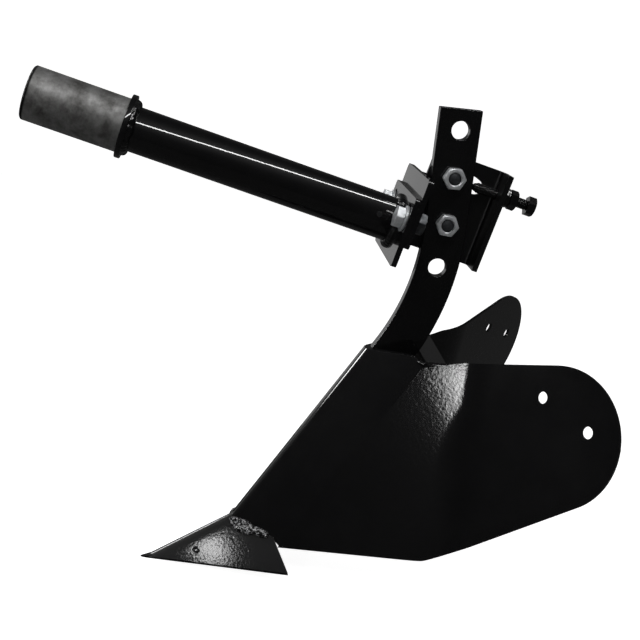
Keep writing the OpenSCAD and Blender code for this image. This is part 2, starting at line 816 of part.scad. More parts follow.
// All that lies outside the right wing's inner face, to fit what is welded between the wings
module wing_outside() {
    wing_tail_frame() translate([0, far / 2, 0]) rotate([90, 0, 0]) linear_extrude(far)
        wing_outer_side();
}

module wing_outer_side() {
    set_back = wing_fold_r * tan(wing_fold / 2);
    translate([set_back, -wing_t]) square([far, far]);
    translate([set_back, wing_fold_r]) rotate(-wing_fold)
        translate([-far, -wing_fold_r - wing_t]) square([far, far]);
    translate([set_back, wing_fold_r]) circle(wing_fold_r + wing_t, $fn = 180);
}

module wing() {
    difference() {
        wing_tail_frame() intersection() {
            translate([0, far / 2, 0]) rotate([90, 0, 0]) linear_extrude(far) wing_section();
            translate([wing_tail_x, -wing_tail_drop, -far / 2]) linear_extrude(far) wing_outline();
        }
        before_leg_end();
    }
}

module wing_right() {
    color(enamel) wing();
}

module wing_left() {
    color(enamel) mirror([0, 1, 0]) wing();
}

spigot_sleeve();
stop_collar();
collar_weld();
draw_tube();
flange_weld();
tube_flange();
front_plate();
side_plate();
bracket_weld();
flange_bolts();
flange_washers();
flange_nuts();
screw_weld_nut();
screw_lock_nut();
adjusting_screw();
pivot_bolt();
pivot_washer();
pivot_nut();
tilt_bolt();
tilt_washer();
tilt_nut();
shank();
nose_plate();
wing_brace();
nose_weld();
share_right();
share_left();
wing_right();
wing_left();
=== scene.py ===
import math

import bmesh
import bpy
import numpy as np
from mathutils import Matrix, Vector


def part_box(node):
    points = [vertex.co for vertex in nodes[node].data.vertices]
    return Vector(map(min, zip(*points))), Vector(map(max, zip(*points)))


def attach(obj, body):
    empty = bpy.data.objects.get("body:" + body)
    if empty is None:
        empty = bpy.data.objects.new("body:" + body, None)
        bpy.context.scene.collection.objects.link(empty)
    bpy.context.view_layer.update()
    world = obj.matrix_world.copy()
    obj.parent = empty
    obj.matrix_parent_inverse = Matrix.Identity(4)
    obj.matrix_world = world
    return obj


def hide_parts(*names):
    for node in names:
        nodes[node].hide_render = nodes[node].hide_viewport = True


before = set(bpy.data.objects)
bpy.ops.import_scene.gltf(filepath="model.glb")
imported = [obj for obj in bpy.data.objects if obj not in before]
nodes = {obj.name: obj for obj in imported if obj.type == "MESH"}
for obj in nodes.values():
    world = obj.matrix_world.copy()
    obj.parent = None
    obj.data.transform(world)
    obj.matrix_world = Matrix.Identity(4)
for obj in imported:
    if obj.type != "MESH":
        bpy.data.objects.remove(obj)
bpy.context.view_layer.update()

print("loaded the plough's frame:", len(nodes), "pieces")

sides = ((-1, "right"), (1, "left"))    # which way along Y, and its name
edges = {
    "segments": 3, "fromAngle": 30, "flatWeight": 60,
    "flatWithin": 0.6, "holeShare": 0.3, "shortEdge": 0.0013,     # for copies, in degrees and metres
    "mergePiece": 2e-6, "mergeCopy": 1e-6, "mergeSheet": 1e-5,    # how close points become one, in metres
}


# A move, as a 4 by 4 matrix
def shifted(x=0.0, y=0.0, z=0.0):
    matrix = np.eye(4)
    matrix[:3, 3] = (x, y, z)
    return matrix


# A right-handed turn about one axis: the other two axes swing by its cosine and sine
def turned(axis, degrees):
    c, s = math.cos(math.radians(degrees)), math.sin(math.radians(degrees))
    i, j = {"x": (1, 2), "y": (2, 0), "z": (0, 1)}[axis]
    matrix = np.eye(4)
    matrix[i, i] = matrix[j, j] = c
    matrix[j, i], matrix[i, j] = s, -s
    return matrix


# Points of another frame in the plough's frame, in millimetres: turned, then moved
def inPlough(matrix, points):
    return np.asarray(points, float) @ matrix[:3, :3].T + matrix[:3, 3]


# The same points in metres, as the meshes need them
def carried(matrix, points):
    return inPlough(matrix, points) / 1000


# Angles once round a circle
def fullTurn(steps):
    return np.linspace(0, 2 * np.pi, steps, endpoint=False)


# Points round the X axis: a distance along it, a radius, and an angle that starts at its Z side
def aroundX(x, radius, angle):
    y, z = radius * np.sin(angle), radius * np.cos(angle)
    return np.stack([np.broadcast_to(x, y.shape), y, z], -1)


# Quads between neighbouring rows and columns of a grid of points, closed round either way if asked
def gridQuads(rows, columns, closeRows=False, closeColumns=False):
    i = np.arange(rows if closeRows else rows - 1)[:, None]
    j = np.arange(columns if closeColumns else columns - 1)[None, :]
    iNext, jNext = (i + 1) % rows, (j + 1) % columns
    quads = [i * columns + j, i * columns + jNext, iNext * columns + jNext, iNext * columns + j]
    return np.stack(quads, -1).reshape(-1, 4)


# A new object in the scene, from its mesh, lamp or camera data
def inScene(name, data):
    added = bpy.data.objects.new(name, data)
    bpy.context.scene.collection.objects.link(added)
    return added


# Points closer together than a distance become one, and the faces are turned outwards if asked
def mergeDoubles(mesh, within, outwards=False):
    merged = bmesh.new()
    merged.from_mesh(mesh)
    bmesh.ops.remove_doubles(merged, verts=merged.verts, dist=within)
    if outwards:
        bmesh.ops.recalc_face_normals(merged, faces=merged.faces)
    merged.to_mesh(mesh)
    merged.free()


# A mesh object from points in metres and the corners of its faces; edges sharper than an angle stay
# crisp
def newPiece(name, points, faces, sharpFrom=40, closed=True):
    mesh = bpy.data.meshes.new(name)
    corners = faces if isinstance(faces, list) else faces.tolist()
    mesh.from_pydata(np.reshape(points, (-1, 3)).tolist(), [], corners)
    if closed:
        mergeDoubles(mesh, edges["mergePiece"], outwards=True)
    mesh.polygons.foreach_set("use_smooth", np.ones(len(mesh.polygons), bool))
    mesh.set_sharp_from_angle(angle=math.radians(sharpFrom))
    mesh.update()
    return inScene(name, mesh)


# Hands a piece its material, the CAD nodes that it stands for and the body that carries it
def dressed(piece, material, body, *replaced):
    piece.data.materials.clear()
    piece.data.materials.append(material)
    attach(piece, body)
    if replaced:
        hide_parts(*replaced)
    return piece


# Rounds the edges of a piece by a width in millimetres and keeps its flat faces flat
def eased(piece, width, angle=edges["fromAngle"], limit="ANGLE"):
    bevel = piece.modifiers.new("edges", "BEVEL")
    bevel.width = width / 1000
    bevel.segments = edges["segments"]
    bevel.limit_method = limit
    bevel.angle_limit = math.radians(angle)
    bevel.harden_normals = False
    weighted = piece.modifiers.new("flats", "WEIGHTED_NORMAL")
    weighted.keep_sharp = False
    weighted.weight = edges["flatWeight"]
    return piece


# A CAD node's own form with softened edges: a merged copy, its flat faces joined, then eased. Short
# edges, which lie round its drilled holes, are eased less than its long ones.
def softCopy(nodeName, width):
    mesh = nodes[nodeName].data.copy()
    mesh.name = nodeName + "_soft"
    copy = bmesh.new()
    copy.from_mesh(mesh)
    bmesh.ops.remove_doubles(copy, verts=copy.verts, dist=edges["mergeCopy"])
    bmesh.ops.dissolve_limit(
        copy, angle_limit=math.radians(edges["flatWithin"]), verts=copy.verts, edges=copy.edges)
    weight = copy.edges.layers.float.new("bevel_weight_edge")
    for edge in copy.edges:
        if len(edge.link_faces) == 2 and edge.calc_face_angle() > math.radians(edges["fromAngle"]):
            edge[weight] = edges["holeShare"] if edge.calc_length() < edges["shortEdge"] else 1.0
    copy.to_mesh(mesh)
    copy.free()
    mesh.materials.clear()
    mesh.polygons.foreach_set("use_smooth", np.ones(len(mesh.polygons), bool))
    return eased(inScene(nodeName + "_soft", mesh), width, limit="WEIGHT")


# sRGB hex to linear light: each channel is undone by the sRGB curve
def linearColour(hexText):
    channels = np.array([int(hexText[i:i + 2], 16) for i in (1, 3, 5)]) / 255
    linear = np.where(channels <= 0.04045, channels / 12.92, ((channels + 0.055) / 1.055) ** 2.4)
    return (*linear.tolist(), 1.0)


# Links a node's inputs from (node, output) pairs. An input is named, with a low line for a space, or
# numbered as i0, i1 and so on.
def linked(tree, node, **links):
    for key, (source, output) in links.items():
        socket = int(key[1:]) if key[1:].isdigit() else key.replace("_", " ")
        tree.links.new(source.outputs[output], node.inputs[socket])
    return node


# Adds one node with its settings, where stops are a ramp's places and colours, and links its inputs
def addNode(tree, kind, settings=None, **links):
    node = tree.nodes.new(kind)
    for key, value in (settings or {}).items():
        if key == "stops":
            for stop, (place, colour) in zip(node.color_ramp.elements, value):
                stop.position, stop.color = place, colour
        elif key in node.inputs and not hasattr(node, key):
            node.inputs[key].default_value = value
        else:
            setattr(node, key, value)
    return linked(tree, node, **links)


# An empty material with its principled shader already wired to the output
def newMaterial(name, **sockets):
    material = bpy.data.materials.new(name)
    material.use_nodes = True
    tree = material.node_tree
    shader = next(n for n in tree.nodes if n.type == "BSDF_PRINCIPLED")
    for key, value in sockets.items():
        shader.inputs[key.replace("_", " ")].default_value = value
    return material, tree, shader


print("making the finishes")
enamel = {
    # Besides the black and the dust, a pale grey of painted highlight: glints painted onto weld beads
    "colour": "#060607", "dust": "#0b0b0c", "paintedGlint": "#a2a2a4",
    "dustMm": 60,                          # patches of settled dust
    "peelMm": 3.2, "peelDepth": 0.012,     # orange peel of a sprayed coat: 2 to 4 mm from hump to hump
    "waveMm": 38, "waveDepth": 0.06,       # slight hollows of rolled plate
    "roughness": 0.36, "dustyRoughness": 0.44, "sheen": 0.1, "coatRoughness": 0.035,
}


# Gloss black alkyd enamel, sprayed on rolled steel: near black, with a clear sharp sheen that the
# orange peel breaks into small cells, and faint dust that dulls it in patches. Lumps show the weld
# or the scuffed plate below, and a glint colour paints highlight: pale patches for the weld's glints.
def glossEnamel(name, peelDepth=enamel["peelDepth"], coatRoughness=enamel["coatRoughness"], coat=1.0,
                lumpMm=1.0, lumpDepth=0.0, paintedGlint=""):
    material, tree, shader = newMaterial(name, Metallic=0.0, Specular_IOR_Level=enamel["sheen"],
                                         Coat_Weight=coat, Coat_Roughness=coatRoughness)
    black = linearColour(enamel["colour"])
    where = addNode(tree, "ShaderNodeTexCoord")
    dust = addNode(tree, "ShaderNodeTexNoise",
                   {"Scale": 1000 / enamel["dustMm"], "Detail": 5.0, "Roughness": 0.6},
                   Vector=(where, "Object"))
    colour = addNode(tree, "ShaderNodeValToRGB",
                     {"stops": ((0.42, black), (0.72, linearColour(enamel["dust"])))}, Fac=(dust, "Fac"))
    dull = addNode(tree, "ShaderNodeMapRange",
                   {"From Min": 0.35, "From Max": 0.75, "To Min": enamel["roughness"],
                    "To Max": enamel["dustyRoughness"]}, Value=(dust, "Fac"))
    layers = [(enamel["waveMm"], 1.0, enamel["waveDepth"]), (enamel["peelMm"], 1.5, peelDepth)]
    if lumpDepth:
        layers.append((lumpMm, 3.0, lumpDepth))
    below = {}
    for sizeMm, detail, depth in layers:
        grain = addNode(tree, "ShaderNodeTexNoise", {"Scale": 1000 / sizeMm, "Detail": detail},
                        Vector=(where, "Object"))
        bump = addNode(tree, "ShaderNodeBump", {"Strength": 1.0, "Distance": depth / 1000},
                       Height=(grain, "Fac"), **below)
        below = {"Normal": (bump, "Normal")}
    # Painted highlight: the glint colour is laid on the lumps' high points as pale patches
    if paintedGlint:
        colour = addNode(tree, "ShaderNodeValToRGB",
                         {"stops": ((0.50, black), (0.60, linearColour(paintedGlint)))}, Fac=(grain, "Fac"))
    linked(tree, shader, Base_Color=(colour, 0), Roughness=(dull, 0), Normal=(bump, 0),
           Coat_Normal=(bump, 0))
    return material


plating = {
    "cloudMm": 5, "cloudRougher": 0.08, "cloudSmoother": 0.04,     # cloudy patches of the passivated zinc
    "grainMm": 0.7, "grainDepth": 0.03,
}


# Bright zinc plating on rolled hexagon steel: pale grey metal, softly blurred, with cloudy patches
def zincPlate(name, colour, shade, roughness, metallic):
    material, tree, shader = newMaterial(name, Metallic=metallic)
    where = addNode(tree, "ShaderNodeTexCoord")
    cloud = addNode(tree, "ShaderNodeTexNoise", {"Scale": 1000 / plating["cloudMm"], "Detail": 4.0},
                    Vector=(where, "Object"))
    tint = addNode(tree, "ShaderNodeValToRGB",
                   {"stops": ((0.35, linearColour(shade)), (0.7, linearColour(colour)))},
                   Fac=(cloud, "Fac"))
    rough = addNode(tree, "ShaderNodeMapRange",
                    {"From Min": 0.3, "From Max": 0.7, "To Min": roughness + plating["cloudRougher"],
                     "To Max": roughness - plating["cloudSmoother"]}, Value=(cloud, "Fac"))
    grain = addNode(tree, "ShaderNodeTexNoise", {"Scale": 1000 / plating["grainMm"], "Detail": 2.0},
                    Vector=(where, "Object"))
    bump = addNode(tree, "ShaderNodeBump", {"Strength": 0.5, "Distance": plating["grainDepth"] / 1000},
                   Height=(grain, "Fac"))
    linked(tree, shader, Base_Color=(tint, 0), Roughness=(rough, 0), Normal=(bump, 0))
    return material


bareSteel = {
    "dark": "#62615f", "bright": "#a9a9a8", "metallic": 0.8, "smudgeMm": 22, "dull": 0.68, "oiled": 0.52,
    "ringMm": 1.6, "ringWidth": 0.04, "ringDepth": 0.04, "ringShade": 0.3,    # coarser than the real 0.2 mm
    "endBandFrom": 2.4, "endBandTo": 3.6, "endBandTone": 0.04,     # a darker band at the end, in mm from it
}


# Bare turned mild steel: mid-grey, with the lathe tool's fine rings round the tube, oily smudges, and
# a darker band at the end. The slope turns the pattern until X runs down the tube.
def turnedSteel(name, slope, endAt):
    material, tree, shader = newMaterial(name, Metallic=bareSteel["metallic"])
    where = addNode(tree, "ShaderNodeTexCoord")
    along = addNode(tree, "ShaderNodeMapping", {"Rotation": (0.0, math.radians(-slope), 0.0)},
                    Vector=(where, "Object"))
    width = bareSteel["ringWidth"]
    stretch = addNode(tree, "ShaderNodeMapping", {"Scale": (1.0, width, width)}, Vector=(along, "Vector"))
    rings = addNode(tree, "ShaderNodeTexNoise",
                    {"Scale": 1000 / bareSteel["ringMm"], "Detail": 3.0, "Roughness": 0.7},
                    Vector=(stretch, "Vector"))
    smudge = addNode(tree, "ShaderNodeTexNoise",
                     {"Scale": 1000 / bareSteel["smudgeMm"], "Detail": 6.0, "Roughness": 0.62},
                     Vector=(along, "Vector"))
    darkest, brightest = linearColour(bareSteel["dark"]), linearColour(bareSteel["bright"])
    tint = addNode(tree, "ShaderNodeValToRGB", {"stops": ((0.36, darkest), (0.62, brightest))},
                   Fac=(smudge, "Fac"))
    shade = addNode(tree, "ShaderNodeMix", {"data_type": "RGBA", "blend_type": "MULTIPLY"},
                    i6=(tint, 0), i7=(rings, "Fac"))
    shade.inputs[0].default_value = bareSteel["ringShade"]
    place = addNode(tree, "ShaderNodeSeparateXYZ", {}, Vector=(along, "Vector"))
    # The first millimetres from the end are darkened, fading back to the plain tint further along
    endBandFrom, endBandTo = endAt + bareSteel["endBandFrom"] / 1000, endAt + bareSteel["endBandTo"] / 1000
    endBand = addNode(tree, "ShaderNodeMapRange",
                    {"From Min": endBandFrom, "From Max": endBandTo, "To Min": bareSteel["endBandTone"],
                     "To Max": 1.0}, Value=(place, "X"))
    dark = addNode(tree, "ShaderNodeMix", {"data_type": "RGBA", "blend_type": "MULTIPLY"},
                   i6=(shade, 2), i7=(endBand, 0))
    dark.inputs[0].default_value = 1.0
    rough = addNode(tree, "ShaderNodeMapRange",
                    {"From Min": 0.3, "From Max": 0.7, "To Min": bareSteel["dull"],
                     "To Max": bareSteel["oiled"]}, Value=(smudge, "Fac"))
    bump = addNode(tree, "ShaderNodeBump", {"Strength": 0.6, "Distance": bareSteel["ringDepth"] / 1000},
                   Height=(rings, "Fac"))
    linked(tree, shader, Base_Color=(dark, 2), Roughness=(rough, 0), Normal=(bump, 0))
    return material


plateEnamel = glossEnamel("gloss_black_enamel")
sheetEnamel = glossEnamel("gloss_black_enamel_on_sheet", peelDepth=0.045, coatRoughness=0.075)
tubeEnamel = glossEnamel("gloss_black_enamel_on_tube", peelDepth=0.03)
satinEnamel = glossEnamel("satin_black_enamel_on_bracket", coatRoughness=0.3)
shareEnamel = glossEnamel("scuffed_enamel_on_share", peelDepth=0.02, coatRoughness=0.07, coat=0.5,
                          lumpMm=2.4, lumpDepth=0.042)
beadEnamel = glossEnamel("gloss_black_enamel_on_weld", peelDepth=0.02, coatRoughness=0.12,
                         lumpMm=2.6, lumpDepth=0.45)
# Painted highlight: the nose's weld beads get pale grey glints painted into their colour
paintedGlintEnamel = glossEnamel("weld_enamel_with_painted_glints", peelDepth=0.02, coatRoughness=0.15,
                            lumpMm=2.4, lumpDepth=0.5, paintedGlint=enamel["paintedGlint"])
zinc = zincPlate("bright_zinc_plate", "#dadcde", "#b4b7b9", roughness=0.36, metallic=0.5)
# A darker copy of the bright zinc for the flange nuts: painted shade, so that little of them reads as lit
shadedZinc = zincPlate("zinc_plate_with_painted_shade", "#5c5e60", "#393b3d", roughness=0.42, metallic=0.8)
threadZinc = zincPlate("dull_zinc_thread", "#4a4c4f", "#303234", roughness=0.5, metallic=0.6)

for node in nodes.values():
    node.data.materials.clear()
    node.data.materials.append(plateEnamel)

# The pivot bolt is the origin of the sizes that follow, in millimetres
low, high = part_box("pivot_washer")
pivot = np.array([(low.x + high.x) / 2, 0.0, (low.z + high.z) / 2]) * 1000
pivotFrame = shifted(*pivot)

tube = {
    "slope": 19.9, "under": 13.6, "start": -403.45, "length": 356.5, "radius": 21.2, "wall": 4, "edge": 0.5,
    "spigotRadius": 25.5, "spigotLength": 90, "spigotChamfer": 1.5, "fit": 0.2,
    "spigotEdges": (0.3, 0.5, 0.5, 0.2, 0.2), "collarEdges": (0.3, 0.9, 0.9, 0.3),
    "collarRadius": 30, "collarThick": 5.4, "weldLeg": 5, "collarWeldSeed": 4, "flangeWeldSeed": 9,
}
tubeFrame = pivotFrame @ turned("y", tube["slope"])
tubeAxis = tubeFrame @ shifted(0, 0, -tube["under"])
endAlong = (turned("y", -tube["slope"]) @ tubeAxis)[:3, 3][0] + tube["start"]
spigotSteel = turnedSteel("turned_mild_steel", tube["slope"], endAlong / 1000)


# A closed outline with each corner swapped for a short curve: a quadratic blend between two points
# set back from the corner along its two sides
def roundedLoop(corners, setBack, steps=4):
    corners = np.asarray(corners, float)
    before, after = np.roll(corners, 1, 0), np.roll(corners, -1, 0)
    towardBefore = (before - corners) / np.linalg.norm(before - corners, axis=1, keepdims=True)
    towardAfter = (after - corners) / np.linalg.norm(after - corners, axis=1, keepdims=True)
    setBack = np.broadcast_to(setBack, len(corners))[:, None]
    first, last = corners + towardBefore * setBack, corners + towardAfter * setBack
    t = np.linspace(0, 1, steps + 1)[None, :, None]
    curve = first[:, None] * (1 - t) ** 2 + corners[:, None] * 2 * t * (1 - t) + last[:, None] * t ** 2
    return curve.reshape(-1, 2)


# A piece from a grid of points that closes on itself both ways, as a ring's skin does
def ringPiece(name, matrix, points, sharpFrom=40):
    faces = gridQuads(*points.shape[:2], closeRows=True, closeColumns=True)
    return newPiece(name, carried(matrix, points), faces, sharpFrom)


# An outline of (distance along, radius) pairs carried round the X axis
def lathePiece(name, matrix, outline, steps=128):
    outline = np.asarray(outline, float)
    angle = fullTurn(steps)[:, None]
    return ringPiece(name, matrix, aroundX(outline[None, :, 0], outline[None, :, 1], angle))


ringWeld = {
    "aroundSteps": 288, "acrossSteps": 13, "ripples": 30, "rippleHeight": 0.09, "waver": 0.10,
    "crescent": 2.4, "lumps": (2, 3, 5, 8, 13), "lumpHeight": (0.02, 0.07), "fullness": 0.9,
    "intoTube": 0.6, "lift": 0.5, "intoPlate": 0.4, "root": 1.2,    # how far it sinks in and stands out
}


# A weld bead in the corner between a tube and a plate. Across the bead, its surface is a quarter
# circle from the tube's side to the plate's, swollen by slow lumps and by ripples that follow each
# other round the tube; its two edges and its root lie inside the metal.
def ringBead(name, matrix, station, radius, leg, toward, seed):
    chance = np.random.default_rng(seed)
    angle = fullTurn(ringWeld["aroundSteps"])[:, None]
    across = np.linspace(0, 1, ringWeld["acrossSteps"])[None, :]
    lump = sum(chance.uniform(*ringWeld["lumpHeight"]) * np.sin(k * angle + chance.uniform(0, 6.28))
               for k in ringWeld["lumps"])
    phase = ringWeld["ripples"] * (angle + ringWeld["waver"] * np.sin(3 * angle))
    phase = phase + ringWeld["crescent"] * (across - 0.5) ** 2
    swell = 1 + lump + ringWeld["rippleHeight"] * (np.abs(np.sin(phase / 2)) - 0.5)
    turn = across * np.pi / 2
    out = leg * swell * np.sin(np.pi / 2 - turn) ** ringWeld["fullness"]
    away = leg * swell * np.sin(turn) ** ringWeld["fullness"]
    r = radius - ringWeld["intoTube"] + np.where(across < 1, out + ringWeld["lift"], 0)
    x = station + toward * (away - ringWeld["intoPlate"] * (across == 0))
    root = aroundX(station - toward * ringWeld["intoPlate"], radius - ringWeld["root"], angle)
    return ringPiece(name, matrix, np.concatenate([aroundX(x, r, angle), root], 1), sharpFrom=70)


print("making the draw tube")
tubeEnd = tube["start"] + tube["length"]
bore = tube["radius"] - tube["wall"]
tubePiece = lathePiece("draw_tube_paint", tubeAxis, roundedLoop(
    [(tube["start"], bore), (tube["start"], tube["radius"]), (tubeEnd, tube["radius"]), (tubeEnd, bore)],
    tube["edge"]))
dressed(tubePiece, tubeEnamel, "tube", "draw_tube")

sleeveBore, spigotEnd = tube["radius"] + tube["fit"], tube["start"] + tube["spigotLength"]
chamfer = tube["spigotChamfer"]
spigotPiece = lathePiece("spigot_turned", tubeAxis, roundedLoop(
    [(tube["start"], sleeveBore), (tube["start"], tube["spigotRadius"] - chamfer),
     (tube["start"] + chamfer, tube["spigotRadius"]), (spigotEnd, tube["spigotRadius"]),
     (spigotEnd, sleeveBore)], tube["spigotEdges"]), steps=160)
dressed(spigotPiece, spigotSteel, "tube", "spigot_sleeve")

collarEnd = spigotEnd + tube["collarThick"]
collarPiece = lathePiece("stop_collar_paint", tubeAxis, roundedLoop(
    [(spigotEnd, sleeveBore), (spigotEnd, tube["collarRadius"]), (collarEnd, tube["collarRadius"]),
     (collarEnd, sleeveBore)], tube["collarEdges"]), steps=144)
dressed(collarPiece, plateEnamel, "tube", "stop_collar")

collarBead = ringBead(
    "collar_weld_bead", tubeAxis, collarEnd, tube["radius"], tube["weldLeg"], 1, tube["collarWeldSeed"])
dressed(collarBead, beadEnamel, "tube", "collar_weld")
flangeBead = ringBead(
    "flange_weld_bead", tubeAxis, tubeEnd, tube["radius"], tube["weldLeg"], -1, tube["flangeWeldSeed"])
dressed(flangeBead, beadEnamel, "tube", "flange_weld")

print("softening the plates")
softened = {    # body, width of the rounding in mm, finish
    "tube_flange": ("tube", 0.6, plateEnamel), "front_plate": ("bracket", 0.6, plateEnamel),
    "side_plate": ("bracket", 0.6, satinEnamel), "shank": ("plough", 0.8, plateEnamel),
    "wing_brace": ("plough", 0.5, plateEnamel),
}
for nodeName, (body, width, finish) in softened.items():
    dressed(softCopy(nodeName, width), finish, body, nodeName)


# A closed piece from rings of points: each row of the grid is one closed ring, and the first and
# last rings are filled
def ringStack(name, matrix, rings, sharpFrom=40):
    rows, columns = rings.shape[:2]
    faces = gridQuads(rows, columns, closeColumns=True).tolist()
    faces += [list(range(columns)), list(range((rows - 1) * columns, rows * columns))]
    return newPiece(name, carried(matrix, rings), faces, sharpFrom)


# The share comes before the nose, whose foot stands on its roof. The corner is at a distance along
# the ridge and down the plate; a dent is a place along and down, a size and a depth.
share = {
    "frame": (-301.462, 0, -335.486), "slope": 26.7, "roof": 37, "ridge": 132, "corner": (135.7, 91),
    "thick": 6, "leastThick": 0.4, "edge": 2.4, "ridgeRound": 3.6, "ridgeFade": 12,
    "dents": ((56, 22, 1.5, 0.6), (58, 25, 1.3, -0.3), (96, 30, 0.8, 0.1), (106, 50, 0.8, 0.1)),
    "alongSteps": 130, "tipCrowding": 0.9, "plateSteps": 66, "ridgeSteps": 15, "ridgeShare": (0.028, 0.03),
    "softEdge": 1.0,
}
ridgeFrame = pivotFrame @ shifted(*share["frame"]) @ turned("y", -share["slope"])

print("making the nose")
nose = {
    "frame": (-69.5879, 0, -112.461), "lean": 37.65, "halfBand": 6, "legAngle": 41.3194, "legLength": 60.58,
    "thick": 5, "bendRadius": 8.5, "depth": 45.5, "halfWidth": 46, "length": 219.6, "toShare": 64.35,
    "shareReach": 109.4, "footRise": 8.2, "footFrom": 0.8, "topLevel": -8.171,
    "cutFrom": 29, "cutAt": (40, 16.3), "cutSlope": 0.076,    # the cut corners at the top
    "step": 1.2, "bandSteps": 3, "bendSteps": 11, "rows": 45, "softEdge": 1.1,
}
noseFrame = pivotFrame @ shifted(*nose["frame"]) @ turned("y", nose["lean"])


# Points and inward normals along the nose's bent section: a flat band, an arc and a straight leg,
# measured from the middle of the band to the leg's end, then mirrored
def noseSection():
    turn = math.radians(90 - nose["legAngle"])
    legWay = np.array([math.cos(math.radians(nose["legAngle"])), math.sin(math.radians(nose["legAngle"]))])
    setBack = nose["bendRadius"] * math.tan(turn / 2)
    bandY = np.linspace(0, nose["halfBand"] - setBack, nose["bandSteps"])[:-1]
    band = np.stack([np.zeros_like(bandY), bandY], -1)
    bend = np.linspace(0, turn, nose["bendSteps"])
    bendInward = np.stack([np.cos(bend), -np.sin(bend)], -1)
    arc = [nose["bendRadius"], nose["halfBand"] - setBack] - nose["bendRadius"] * bendInward
    along = np.append(np.arange(setBack + nose["step"], nose["legLength"], nose["step"]), nose["legLength"])
    leg = [0, nose["halfBand"]] + along[:, None] * legWay
    inward = np.concatenate([np.tile([1.0, 0.0], (len(band), 1)), bendInward,
                             np.tile([legWay[1], -legWay[0]], (len(leg), 1))])
    half = np.concatenate([np.concatenate([band, arc, leg]), inward], 1)
    return np.concatenate([half[::-1] * [1, -1, 1, -1], half[1:]])


# The nose's upper and lower ends at a point of its section: the top is level in the plough, less
# the cut corners; the foot follows the share's roof, and then a line square to the nose
def noseEnds(x, y):
    lean, toShare = math.radians(nose["lean"]), math.radians(nose["toShare"])
    top = (nose["topLevel"] + x * math.sin(lean)) / math.cos(lean)
    cut = nose["cutAt"][1] - nose["cutSlope"] * (x - nose["cutAt"][0])
    top = np.where(x > nose["cutFrom"], np.minimum(top, cut), top)
    rise = (x * math.sin(toShare) - math.tan(math.radians(share["roof"])) * np.abs(y)) / math.cos(toShare)
    ridge = nose["shareReach"] + x * math.cos(toShare) + rise * math.sin(toShare)
    pastShare = (ridge > share["corner"][0]) & (x > nose["footFrom"] * nose["depth"])
    foot = np.where(pastShare, nose["footRise"], rise)
    return top, foot - nose["length"]


section = noseSection()
outer, inner = section[:, :2], section[:, :2] + section[:, 2:] * nose["thick"]
(outerTop, outerFoot), (innerTop, innerFoot) = noseEnds(*outer.T), noseEnds(*inner.T)
upward = np.linspace(0, 1, nose["rows"])[:, None]
outerSkin = np.stack(np.broadcast_arrays(*outer.T, outerFoot + (outerTop - outerFoot) * upward), -1)
innerSkin = np.stack(np.broadcast_arrays(*inner.T, innerTop + (innerFoot - innerTop) * upward), -1)
rings = np.concatenate([outerSkin, innerSkin]).transpose(1, 0, 2)
nosePiece = ringStack("nose_bent_plate", noseFrame, rings, sharpFrom=45)
dressed(eased(nosePiece, nose["softEdge"], angle=50), plateEnamel, "plough", "nose_plate")

print("making the wings")
wing = {
    "datum": 16.3, "frontAngle": 26.8, "foldLean": 30.4, "foldAt": 53.5, "fold": 26.5, "foldRadius": 62,
    "growthTop": -30, "growth": 180, "growthReach": 90, "growthEnd": 88,     # how the fold widens below
    "thick": 3, "tail": (87.7, -41.5), "tailRadius": 63.4, "topRise": 7.6, "clipAhead": 96.4,
    "clipTurn": 11, "trailSlope": 30.6, "trailLength": 167.5, "bottomSlope": 7.5, "cornerBlend": 0.8,
    "edgeReach": 40, "holes": ((-18.7, 32.4), (31.1, 10.3)), "holeRadius": 5.5, "softEdge": 0.6,
    "frontLimit": -330, "step": 1.6, "tailSteps": 60, "rows": 72,
}
noseEdge = shifted(nose["depth"], -nose["halfWidth"], wing["datum"]) @ turned("z", -wing["frontAngle"])
wingFront = (noseFrame @ noseEdge @ turned("x", 90) @ turned("z", wing["foldLean"])
             @ shifted(wing["foldAt"], 0, 0))
wingTail = wingFront @ turned("y", -wing["fold"])


# A direction in the wing's plane, by its angle above its X axis
def wayAt(degrees):
    return np.array([math.cos(math.radians(degrees)), math.sin(math.radians(degrees))])


# The sheet's height over the tail's plane at a place: flat behind the fold, sloping ahead of it, and
# an arc between the two that touches both. Below a level the arc widens, by one minus an exponential
# of the depth, and towards the bottom it narrows again, by an exponential of its cube.
def foldHeight(x, y):
    fold = math.radians(wing["fold"])
    depth = np.maximum(wing["growthTop"] - y, 0)
    growth = (1 - np.exp(-depth / wing["growthReach"])) * np.exp(-(depth / wing["growthEnd"]) ** 3)
    radius = wing["foldRadius"] + wing["growth"] * growth
    setBack = radius * math.tan(fold / 2)
    within = np.clip(setBack - x, 0, radius * math.sin(fold))
    arc = radius - np.sqrt(radius ** 2 - within ** 2)
    return np.where(x < setBack - radius * math.sin(fold), -x * math.tan(fold), arc)


# The height of a straight edge through a point, at a place along X
def lineHeight(point, slope, x):
    return point[1] + math.tan(math.radians(slope)) * (x - point[0])


